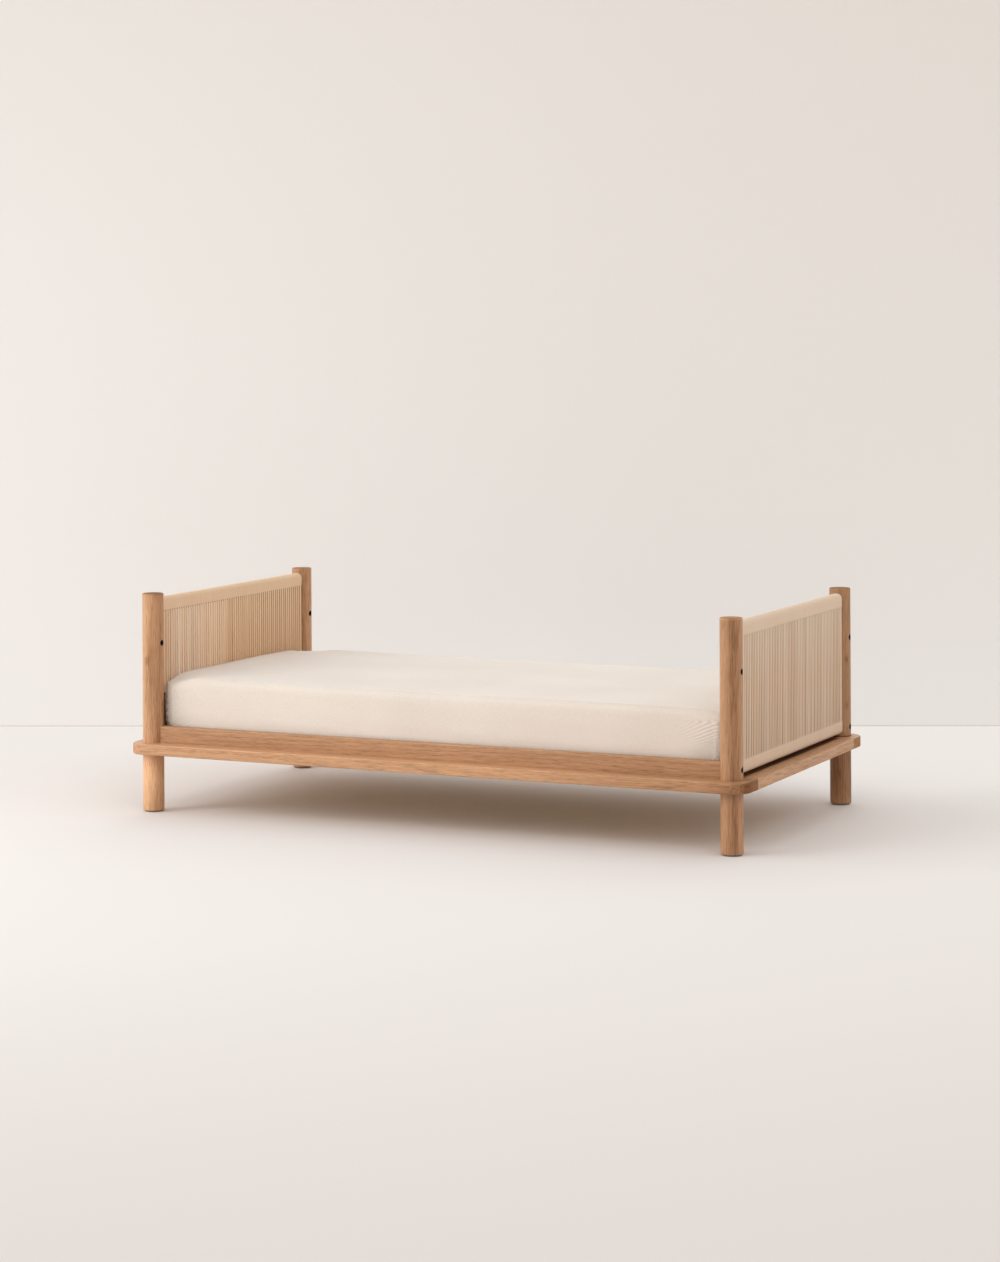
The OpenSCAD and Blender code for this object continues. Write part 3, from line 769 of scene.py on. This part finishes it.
# %% Draw one turn as a tube
def draw_turn(path):
    """Extrudes a ring of edges along a closed flat path, and joins its end to its start."""
    turn = bmesh.new()
    uv = turn.loops.layers.uv.new("UVMap")
    count = len(path)
    points = [Vector((x, 0, z)) for x, z in path]
    headings = [(points[(i + 1) % count] - points[i - 1]).normalized() for i in range(count)]
    ring = bmesh.ops.create_circle(turn, segments=SIDES, radius=CORD / 2)["verts"]
    lean = Vector((0, 0, 1)).rotation_difference(headings[0]).to_matrix().to_4x4()
    bmesh.ops.transform(turn, matrix=Matrix.Translation(points[0]) @ lean, verts=ring)
    edges = turn.edges[:]
    place = {vert: (i, 0.0) for i, vert in enumerate(ring)}
    first = ring
    metres = 0.0
    for i in range(1, count + 1):
        before, here = i - 1, i % count
        step = (points[here] - points[before]).length
        if i < count:
            old = ring
            made = bmesh.ops.extrude_edge_only(turn, edges=edges)["geom"]
            ring = [e for e in made if isinstance(e, bmesh.types.BMVert)]
            edges = [e for e in made if isinstance(e, bmesh.types.BMEdge)]
            edges = [e for e in edges if all(v in ring for v in e.verts)]
            faces = [e for e in made if isinstance(e, bmesh.types.BMFace)]
            near = {tuple(round(c, 7) for c in v.co): place[v][0] for v in old}
            for vert in ring:
                place[vert] = (near[tuple(round(c, 7) for c in vert.co)], metres + step)
            turning = headings[before].rotation_difference(headings[here]).to_matrix()
            bmesh.ops.translate(turn, vec=points[here] - points[before], verts=ring)
            bmesh.ops.rotate(turn, cent=points[here], matrix=turning, verts=ring)
        else:
            edges += [e for e in turn.edges if all(v in first for v in e.verts)]
            faces = bmesh.ops.bridge_loops(turn, edges=edges)["faces"]
            place.update({v: (place[v][0], metres + step) for v in first})
        for face in faces:
            numbers = [place[loop.vert][0] for loop in face.loops]
            wraps = max(numbers) - min(numbers) > 1
            for loop in face.loops:
                number, along = place[loop.vert]
                number += SIDES if wraps and number == 0 else 0
                loop[uv].uv = (number / SIDES, along)
        metres += step
    return turn, metres


print("each turn is a tube of", SIDES, "sides")

# %% Shade, slack and room for the rod
LOOSE = 0.0003
LOOSE_BELOW = 0.0007
INSIDE = 0.8
BAND_EDGE_SHADE = 1.35
CORNER_SHADE = 1.8
CORNER_WIDTH = 0.03


def shaded(place, end_x, goes_round_both):
    """How deep a face lies in shade: in the panel, at a band's edge, or in the head's corner."""
    from_middle = abs(place.z - MIDDLE)
    band_edge = HALF_HEIGHT + CORD - BAND
    if not goes_round_both:
        return BAND_EDGE_SHADE * (from_middle < band_edge + 1.3 * SLOT_ROUND)
    beside_post = end_x < 0 and place.x > end_x and place.y < CORNER_WIDTH - HALF_LENGTH
    if beside_post and place.z < MIDDLE - CORNER_WIDTH:
        return CORNER_SHADE
    upright = BOTTOM + RAIL_ROUND + CORD < place.z < TOP - RAIL_ROUND - CORD
    looks_in = abs(place.x - end_x) < HALF_DEPTH - 0.15 * CORD
    return INSIDE * (upright and looks_in)


def let_slip(verts, end_x):
    """A strand never hangs quite straight. It keeps its place best at the top, on each face."""
    above = [random.uniform(-LOOSE, LOOSE) for _ in range(2)]
    below = [random.uniform(-LOOSE_BELOW, LOOSE_BELOW) for _ in range(2)]
    for vert in verts:
        face = int(vert.co.x > end_x)
        up = (vert.co.z - BOTTOM) / (TOP - BOTTOM)
        vert.co.y += above[face] * up + below[face] * (1 - up)


def part_round_rod(verts, y, room):
    """Turns that would run into the upright rod between the faces are pushed to its two sides."""
    inner_top = TOP - BAND + 2 * CORD
    inner_bottom = BOTTOM + BAND - 2 * CORD
    for vert in verts:
        if inner_bottom < vert.co.z < inner_top:
            vert.co.y += math.copysign(room, y)


print("a strand slips up to", LOOSE_BELOW * 1000, "mm at its lower end")

# %% Wind a panel
BASE_TONE = {True: 0.25, False: 0.6}
TONE_SPAN = {True: 0.45, False: 0.2}
STRAND_OFFSET = 0.48 * CORD
random.seed(7)


def wind_panel(name, end_x, pale_strands):
    """All turns of one panel. pale_strands are the places along Y of its paler strands."""
    panel = bmesh.new()
    tone_of = panel.faces.layers.float.new("tone")
    inside_of = panel.faces.layers.float.new("inside")
    panel.loops.layers.uv.new("UVMap")
    shapes = [(long_turn(), True), (short_turn(True), False), (short_turn(False), False)]
    used = 0.0
    for path, goes_round_both in shapes:
        turn, length = draw_turn(path)
        mesh = bpy.data.meshes.new("turn")
        turn.to_mesh(mesh)
        turn.free()
        for pair in range(PAIRS):
            middle = (pair + 0.5) * PITCH - HALF_LENGTH
            if goes_round_both:
                places = [middle - STRAND_OFFSET, middle + STRAND_OFFSET]
            elif pair + 1 < PAIRS:
                places = [middle + PITCH / 2]
            else:
                places = [-HALF_LENGTH + CORD / 2, HALF_LENGTH - CORD / 2]
            for y in places:
                start = len(panel.verts)
                first_face = len(panel.faces)
                panel.from_mesh(mesh)
                panel.verts.ensure_lookup_table()
                panel.faces.ensure_lookup_table()
                new = panel.verts[start:]
                bmesh.ops.translate(panel, vec=Vector((end_x, y, 0)), verts=new)
                if goes_round_both:
                    let_slip(new, end_x)
                room = ROD_RADIUS + CORD / 2 - abs(y)
                if not goes_round_both and room > 0:
                    part_round_rod(new, y, room)
                is_pale = goes_round_both and any(abs(y - p) < CORD / 2 for p in pale_strands)
                shift = random.uniform(-1, 1) * TONE_SPAN[goes_round_both]
                tone = 1.0 if is_pale else BASE_TONE[goes_round_both] + shift
                for face in panel.faces[first_face:]:
                    face[tone_of] = tone
                    face[inside_of] = shaded(face.calc_center_median(), end_x, goes_round_both)
                used += length
        bpy.data.meshes.remove(mesh)
    bmesh.ops.recalc_face_normals(panel, faces=panel.faces)
    made = place_mesh(name, panel, COTTON_CORD)
    print(name, "uses", round(used), "m of cord,", len(made.data.polygons), "faces")
    return made


# Each winding's node, and the places of its paler strands.
PANELS = {
    "headboard_winding": ("headboard_cord", (-0.0365,)),
    "footboard_winding": ("footboard_cord", (0.0145, 0.1497)),
}
for name, (node, pale_strands) in PANELS.items():
    low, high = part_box(node)
    winding = wind_panel(name, (low.x + high.x) / 2, pale_strands)
    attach(winding, "frame")
    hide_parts(node)

# %% [markdown]
# ## The mattress
#
# The mattress is a block of foam in a woven cover. A block with bevelled edges looks like wood,
# because foam in a tight cover never stays flat: its faces swell a little and its corners are
# pulled round. So the block is meshed evenly with small squares, a cloth simulation blows it up a
# few millimetres, and then the corners are drawn down. The photograph also shows that this mattress
# stands nearly a centimetre higher at its head end and a little lower at the back, and that it is
# pressed in between the two panels.

# %% The block that the mattress starts from
SKIN = 0.003
CROWN = 0.001
END_PRESS = 0.004
CORNER_ROUND = 0.012
EDGE_ROUND = 0.003
SHARP = 1.0

mattress_low, mattress_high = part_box("mattress")
block_low = mattress_low + Vector((-END_PRESS, SKIN, 0))
block_high = mattress_high - Vector((-END_PRESS, SKIN, CROWN + SKIN / 2))
size, centre = block_high - block_low, (block_high + block_low) / 2

block = bmesh.new()
shape_size = Matrix.Translation(centre) @ Matrix.Diagonal((*size, 1))
bmesh.ops.create_cube(block, size=1.0, matrix=shape_size)
upright = [e for e in block.edges if abs(e.verts[0].co.z - e.verts[1].co.z) > size.z / 2]
rounding = {"affect": "EDGES", "profile": 0.5, "material": -1, "clamp_overlap": True}
bmesh.ops.bevel(block, geom=upright, offset=CORNER_ROUND, segments=6, **rounding)
level = [e for e in block.edges if abs(e.verts[0].co.z - e.verts[1].co.z) < 1e-6]
rims = [e for e in level if e.calc_face_angle(0) > SHARP]
bmesh.ops.bevel(block, geom=rims, offset=EDGE_ROUND, segments=5, **rounding)
mattress = place_mesh("mattress_pad", block)
print("block:", [round(v, 3) for v in size], "m")

# %% Mesh it evenly with small squares
VOXEL = 0.008


def bake_modifiers(piece):
    """Takes the mesh as its modifiers leave it, and removes them."""
    graph = bpy.context.evaluated_depsgraph_get()
    mesh = bpy.data.meshes.new_from_object(piece.evaluated_get(graph))
    old = piece.data
    piece.modifiers.clear()
    piece.data = mesh
    mesh.name = piece.name
    bpy.data.meshes.remove(old)


remesh = mattress.modifiers.new("even squares", "REMESH")
remesh.mode = "VOXEL"
remesh.voxel_size = VOXEL
bake_modifiers(mattress)
print("mattress:", len(mattress.data.polygons), "squares of about", VOXEL * 1000, "mm")

# %% [markdown]
# The simulation has only pressure in it, and no gravity, because the foam carries the cover from
# inside. Each point may move only a few millimetres, and the underside stays flat on the slats.

# %% Swell the mattress
SWELL = 0.008
END_BULGE = 0.0055
SIDE_BULGE = 0.002
FRAMES = 20
COVER = {
    "quality": 4,
    "mass": 0.3,
    "tension_stiffness": 12,
    "compression_stiffness": 12,
    "bending_stiffness": 1.5,
    "use_pressure": True,
    "uniform_pressure_force": 4.0,
}


def swell(piece, cap):
    """Blows a closed mesh up like a cushion. No point moves inwards, or further than cap."""
    start = [v.co.copy() for v in piece.data.vertices]
    normals = [v.normal.copy() for v in piece.data.vertices]
    cloth = piece.modifiers.new("cover", "CLOTH")
    for name, value in COVER.items():
        setattr(cloth.settings, name, value)
    cloth.settings.effector_weights.gravity = 0
    cloth.collision_settings.use_collision = False
    cloth.point_cache.frame_end = FRAMES
    for number in range(1, FRAMES + 1):
        bpy.context.scene.frame_set(number)
    graph = bpy.context.evaluated_depsgraph_get()
    moved = [v.co.copy() for v in piece.evaluated_get(graph).data.vertices]
    piece.modifiers.clear()
    bpy.context.scene.frame_set(1)
    furthest = 0.0
    for vert, before, after, normal in zip(piece.data.vertices, start, moved, normals):
        step = after - before
        outwards = step.dot(normal)
        if outwards < 0:
            step -= normal * outwards
        if step.length > cap:
            step *= cap / step.length
        furthest = max(furthest, step.length)
        place = before + step
        for axis, bulge in ((0, END_BULGE), (1, SIDE_BULGE)):
            low, high = mattress_low[axis] - bulge, mattress_high[axis] + bulge
            place[axis] = min(max(place[axis], low), high)
        place.z = min(max(place.z, mattress_low.z), mattress_high.z)
        vert.co = place
    print(piece.name, "moved up to", round(furthest * 1000, 1), "mm")


swell(mattress, SWELL)

# %% Draw the corners down and lift the head end
HEAD_CORNER_DROP = 0.017
FOOT_CORNER_DROP = 0.008
CORNER_REACH = 0.055
BACK_DROP = 0.0045
HEAD_RISE = 0.0085
HEAD_REACH = 0.22
CORNER_PULL = 0.004
thickness = mattress_high.z - mattress_low.z


def settle(place):
    """How a point of the mattress moves when the foam settles into its cover.

    Corners are drawn down most at the top, and drawn in below a third of the height.
    """
    up = (place.z - mattress_low.z) / thickness
    to_end = mattress_high.x - abs(place.x)
    to_side = mattress_high.y - abs(place.y)
    near_corner = math.exp(-(to_end**2 + to_side**2) / CORNER_REACH**2)
    corner_drop = HEAD_CORNER_DROP if place.x < 0 else FOOT_CORNER_DROP
    drop = corner_drop * near_corner * max(up, 0) ** 2
    drop += BACK_DROP * (place.y / (2 * mattress_high.y) + 0.5) * max(up, 0)
    rise = HEAD_RISE * math.exp(-(place.x - mattress_low.x) / HEAD_REACH) * max(up, 0)
    pull = CORNER_PULL * near_corner * max(1 - up * 3, 0)
    sign_x, sign_y = math.copysign(1, place.x), math.copysign(1, place.y)
    return Vector((-sign_x * pull, -sign_y * pull, rise - drop))


for vert in mattress.data.vertices:
    vert.co += settle(vert.co)
print("mattress top now reaches", round(max(v.co.z for v in mattress.data.vertices), 4), "m")

# %% Ticking, the finish of the mattress
TICKING_THREAD = 0.0016
TICKING = colour(232, 226, 214)
TICKING_SHADE = colour(214, 206, 192)


def woven(tree, place, facing, thread):
    """The height of a plain weave with threads along X, Y and Z, on whichever way a face looks."""
    at, looks = split(tree, place), split(tree, facing)
    total = None
    for axis in "XYZ":
        turns = calculate(tree, "MULTIPLY", at[axis], 2 * math.pi / thread)
        wave = calculate(tree, "ABSOLUTE", calculate(tree, "SINE", turns))
        seen = calculate(tree, "SUBTRACT", 1.0, calculate(tree, "ABSOLUTE", looks[axis]))
        part = calculate(tree, "MULTIPLY", wave, seen)
        total = part if total is None else calculate(tree, "ADD", total, part)
    return total


def ticking():
    material, tree, shader = new_material("mattress_ticking")
    coordinates = add(tree, "TexCoord")
    weave = woven(tree, coordinates["Object"], coordinates["Normal"], TICKING_THREAD)
    cloth = blend_colours(tree, spread(tree, weave, 0.2, 1.6), TICKING_SHADE, TICKING)
    finish_shader(tree, shader, cloth, 0.85, weave, 0.0002, Sheen_Weight=0.15)
    return material


mattress.data.materials.clear()
mattress.data.materials.append(ticking())
mattress.data.shade_smooth()
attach(mattress, "mattress")
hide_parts("mattress")
print("mattress:", len(mattress.data.vertices), "points in", mattress.data.materials[0].name)

# %% [markdown]
# ## The fitted sheet
#
# The sheet is one piece of cotton, cut about 18 cm wider than the mattress on every side, sewn at
# its corners and gathered by elastic underneath. It follows the mattress everywhere, so it is made
# from the mattress's own skin: the underside is opened up inside the hem, and the rest is pushed
# out by a small gap. What makes it cloth are the folds: a fan of short pleats at each lower corner,
# where the elastic gathers it, long shallow folds along the sides, and a top that waves a little.
# They are real shape, and not only a bump in the finish.

# %% Cut the sheet out of the mattress's skin
HEM = 0.065

cloth = bmesh.new()
cloth.from_mesh(mattress.data)
inner_x, inner_y = mattress_high.x - HEM, mattress_high.y - HEM


def inside_hem(place):
    return abs(place.x) < inner_x and abs(place.y) < inner_y


under = [f for f in cloth.faces if f.normal.z < -0.7 and inside_hem(f.calc_center_median())]
bmesh.ops.delete(cloth, geom=under, context="FACES")
print("opened underneath:", len(under), "faces")

# %% Finer squares where the corners will be folded
FOLDED_REACH, FOLDED_HEIGHT = 0.13, 0.1
MARGIN = 0.01


def from_corner(place):
    """Distance round the side from the nearest corner, and height above the underside."""
    to_end, to_side = mattress_high.x - abs(place.x), mattress_high.y - abs(place.y)
    return max(to_end, to_side), place.z - mattress_low.z


def is_folded(place, margin=0.0):
    along, height = from_corner(place)
    return along < FOLDED_REACH - margin and height < FOLDED_HEIGHT - margin


busy = [f for f in cloth.faces if is_folded(f.calc_center_median())]
busy_edges = list({e for f in busy for e in f.edges})
bmesh.ops.subdivide_edges(cloth, edges=busy_edges, cuts=2, use_grid_fill=True)
near_corners = [v for v in cloth.verts if is_folded(v.co, MARGIN)]
bmesh.ops.smooth_vert(cloth, verts=near_corners, factor=0.3, use_axis_x=True, use_axis_y=True)
print("sheet:", len(cloth.faces), "faces before the folds")

# %% How far the folds stand out
CLOTH_GAP = 0.0013
PLEAT = 0.007
PLEAT_WIDTH = 0.012
PLEAT_WIDENS = 5
PLEAT_WANDER = 1.5
FAN_REACH = 0.075
FAN_HEIGHT, FAN_FADE = 0.03, 0.06
LONG_FOLD = 0.0032
LONG_HEIGHT, LONG_FADE = 0.01, 0.05
SOFT_WAVE = 0.0014
WAVE_FADE = 0.09

cloth.normal_update()


def fold(place, normal):
    """How far the cloth stands away from the mattress at a point, in metres.

    The numbers inside each noise are bumps a metre along X, Y and Z.
    """
    along, height = from_corner(place)
    side = 1 - abs(normal.z)
    round_corner = place.x if abs(normal.y) > abs(normal.x) else place.y
    fan = math.exp(-((along / FAN_REACH) ** 2))
    fan *= math.exp(-max(height - FAN_HEIGHT, 0) / FAN_FADE)
    wander = noise.noise(Vector((place.x * 9, place.y * 9, place.z * 14)))
    width = PLEAT_WIDTH * (1 + height * PLEAT_WIDENS)
    beat = math.sin(2 * math.pi * (round_corner / width + wander * PLEAT_WANDER))
    pleats = PLEAT * fan * (0.5 + 0.5 * beat) * side
    stretched = Vector((place.x * 3.1, place.y * 3.1, place.z * 42 + place.x * 1.4))
    low_down = math.exp(-max(height - LONG_HEIGHT, 0) / LONG_FADE)
    lines = LONG_FOLD * side * low_down * max(noise.noise(stretched) + 0.15, 0)
    ripple = noise.noise(Vector((place.x * 22, place.y * 22, place.z * 5)))
    upright = SOFT_WAVE * 0.6 * side * max(ripple, 0) * math.exp(-max(height, 0) / WAVE_FADE)
    broad = noise.noise(Vector((place.x * 3.2, place.y * 4.1, 0.7)))
    top = SOFT_WAVE * (0.5 + broad) * max(normal.z, 0)
    return pleats + lines + upright + top


print("pleats stand out up to", PLEAT * 1000, "mm")

# %% Fold the cloth, and keep it clear of the panels and rails
CLEAR = 0.0004
END_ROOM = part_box("footboard_cord")[0].x - CLEAR
SIDE_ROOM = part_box("side_rail_back")[0].y - CLEAR
RAIL_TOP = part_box("side_rail_back")[1].z + CLEAR
for vert in cloth.verts:
    if vert.normal.z < -0.5:
        vert.co += vert.normal * CLOTH_GAP * 0.9
    else:
        vert.co += vert.normal * (CLOTH_GAP + fold(vert.co, vert.normal))
    vert.co.x = min(max(vert.co.x, -END_ROOM), END_ROOM)
    if vert.co.z < RAIL_TOP:
        vert.co.y = min(max(vert.co.y, -SIDE_ROOM), SIDE_ROOM)
sheet = place_mesh("sheet", cloth)
print("sheet top reaches", round(max(v.co.z for v in sheet.data.vertices), 4), "m")

# %% Give the cloth its thickness
SHEET_THICK = 0.0008
wall_of_cloth = sheet.modifiers.new("thickness", "SOLIDIFY")
wall_of_cloth.thickness = SHEET_THICK
wall_of_cloth.offset = -1
wall_of_cloth.use_even_offset = False
bake_modifiers(sheet)
print("cloth:", SHEET_THICK * 1000, "mm thick,", len(sheet.data.polygons), "faces")

# %% Washed cotton
SHEET_THREAD = 0.0011
SHEET_ROUGHNESS = 0.82
SHEET_PALE = colour(236, 226, 216)
SHEET_WARM = colour(229, 217, 205)
# Painted light makes the top paler than the sides; painted shade makes the sides darker and warmer
# towards the foot.
PAINTED_LIGHT_ON_TOP = (1.045, 1.045, 1.045, 1)
PAINTED_SHADE_AT_FOOT = (0.97, 0.94, 0.92, 1)
WHITE = (1, 1, 1, 1)


def washed_cotton():
    material, tree, shader = new_material("washed_cotton")
    coordinates = add(tree, "TexCoord")
    place = coordinates["Object"]
    weave = woven(tree, place, coordinates["Normal"], SHEET_THREAD)
    slub = add(tree, "TexNoise", {"Vector": place, "Scale": 260.0, "Detail": 3.0})[0]
    crease = add(tree, "TexNoise", {"Vector": place, "Scale": 26.0, "Detail": 4.0})[0]
    cloud = add(tree, "TexNoise", {"Vector": place, "Scale": 4.0, "Detail": 2.0})[0]
    mixed = calculate(tree, "MULTIPLY_ADD", slub, 0.5, calculate(tree, "MULTIPLY", cloud, 0.5))
    cotton = blend_colours(tree, spread(tree, mixed, 0.36, 0.64), SHEET_WARM, SHEET_PALE)
    # Painted shade: the sides go darker and warmer towards the foot.
    to_foot = spread(tree, split(tree, place)["X"], 0.1, 0.7)
    sides_with_painted_shade = blend_colours(tree, to_foot, WHITE, PAINTED_SHADE_AT_FOOT)
    # Painted light: only faces that look straight up get the paler top; the rounded edge keeps the
    # sides' colour.
    looks_up = split(tree, coordinates["Normal"])["Z"]
    tone = blend_colours(tree, spread(tree, looks_up, 0.955, 0.995), sides_with_painted_shade, PAINTED_LIGHT_ON_TOP)
    cotton = blend_colours(tree, 1.0, cotton, tone, "MULTIPLY")
    height = calculate(tree, "MULTIPLY_ADD", weave, 0.12, calculate(tree, "MULTIPLY", crease, 2.2))
    gloss = {"Sheen_Weight": 0.1, "Specular_IOR_Level": 0.3}
    finish_shader(tree, shader, cotton, SHEET_ROUGHNESS, height, 0.0006, **gloss)
    return material


sheet.data.materials.clear()
sheet.data.materials.append(washed_cotton())
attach(sheet, "mattress")
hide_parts("fitted_sheet")
